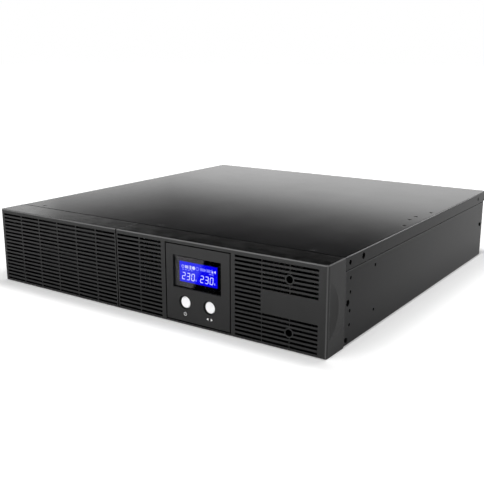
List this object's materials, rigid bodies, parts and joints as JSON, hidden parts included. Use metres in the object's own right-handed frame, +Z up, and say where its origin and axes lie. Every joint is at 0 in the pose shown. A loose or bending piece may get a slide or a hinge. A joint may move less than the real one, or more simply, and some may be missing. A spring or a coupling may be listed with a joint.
{
  "type": "uninterruptible power supply",
  "caption": "Low, wide rack-mounting uninterruptible power supply with louvred front, pull-out square display, battery drawer, finned power stage, fan and mains sockets.",
  "frame": {"origin": "on the floor, under the middle of the case", "axes": "+X right seen from the front, +Y from the front to the back, +Z up"},
  "size_m": [0.44, 0.45, 0.088],
  "materials": {
    "front_plastic": "fine moulded texture",
    "display_plastic": "fine moulded texture",
    "powder_coat": "fine textured powder coat",
    "bare_steel": "zinc plated",
    "bright_steel": "bright plated",
    "black_screws": "black zinc",
    "black_plastic": "moulded",
    "battery_case": "moulded",
    "battery_tabs": "tinned",
    "red_plastic": "moulded",
    "red_lead": "satin",
    "black_lead": "satin",
    "brown_lead": "satin",
    "button_white": "satin",
    "screen_glass": "polished",
    "screen_lit": "lit",
    "board_green": "solder mask",
    "sink_aluminium": "extruded",
    "chip_black": "moulded",
    "capacitor_sleeve": "shrink sleeve",
    "relay_blue": "moulded",
    "choke_copper": "enamelled",
    "fuse_orange": "clear moulded",
    "core_steel": "varnished plates",
    "coil_tape": "wrapped tape"
  },
  "bodies": {
    "chassis": {"chassis_pan": "powder_coat", "rear_panel": "powder_coat", "top_cover": "powder_coat", "front_frame": "powder_coat", "bay_partition": "bare_steel", "front_bezel": "front_plastic", "bezel_screws": "black_screws", "cover_screws": "black_screws", "panel_screws": "black_screws", "ear_nuts": "black_screws", "fan_frame": "black_plastic", "fan_guard": "bright_steel", "fan_screws": "bright_steel", "ac_inlet": "black_plastic", "inlet_pins": "bright_steel", "ac_outlets": "black_plastic", "breaker_body": "black_plastic", "usb_port": "bright_steel", "serial_port": "bright_steel", "network_jacks": "black_plastic", "option_cover": "powder_coat", "comm_board": "board_green", "main_board": "board_green", "board_spacers": "bright_steel", "heatsinks": "sink_aluminium", "power_transistors": "chip_black", "bulk_capacitors": "capacitor_sleeve", "relays": "relay_blue", "input_choke": "choke_copper", "blade_fuses": "fuse_orange", "transformer_core": "core_steel", "transformer_coil": "coil_tape", "transformer_bracket": "bare_steel", "transformer_screws": "bright_steel", "battery_socket": "red_plastic", "dc_leads": "black_lead", "ac_leads": "brown_lead"},
    "fan_rotor": {"fan_rotor": "black_plastic"},
    "breaker_button": {"breaker_button": "red_plastic"},
    "display_module": {"display_housing": "display_plastic", "screen_window": "screen_glass", "screen_panel": "screen_lit", "display_board": "board_green", "button_switches": "black_plastic", "display_cable": "black_lead"},
    "power_button": {"power_button": "button_white"},
    "select_button": {"select_button": "button_white"},
    "battery_drawer": {"battery_tray": "powder_coat", "battery_front": "battery_case", "battery_middle": "battery_case", "battery_rear": "battery_case", "battery_terminals": "battery_tabs", "battery_leads": "red_lead", "battery_plug": "red_plastic", "battery_clamp": "bare_steel", "tray_handle": "black_plastic", "thumb_screws": "black_screws", "door_clips": "black_screws"},
    "battery_door": {"battery_door": "front_plastic"}
  },
  "joints": [
    {"name": "fan_spin", "type": "hinge", "parent": "chassis", "child": "fan_rotor", "pos_m": [0.168, 0.206, 0.044], "axis": [0, 1, 0], "continuous": true},
    {"name": "breaker_trip", "type": "slide", "parent": "chassis", "child": "breaker_button", "axis": [0, 1, 0], "range_m": [0, 0.004]},
    {"name": "display_pull", "type": "slide", "parent": "chassis", "child": "display_module", "axis": [0, -1, 0], "range_m": [0, 0.03], "deforming": ["display_cable"]},
    {"name": "power_press", "type": "slide", "parent": "display_module", "child": "power_button", "axis": [0, 1, 0], "range_m": [0, 0.0015], "stiffness_N_per_m": 400, "springref_m": -0.001},
    {"name": "select_press", "type": "slide", "parent": "display_module", "child": "select_button", "axis": [0, 1, 0], "range_m": [0, 0.0015], "stiffness_N_per_m": 400, "springref_m": -0.001},
    {"name": "drawer_slide", "type": "slide", "parent": "chassis", "child": "battery_drawer", "axis": [0, -1, 0], "range_m": [0, 0.3]},
    {"name": "door_pull", "type": "slide", "parent": "battery_drawer", "child": "battery_door", "axis": [0, -1, 0], "range_m": [0, 0.06]}
  ]
}
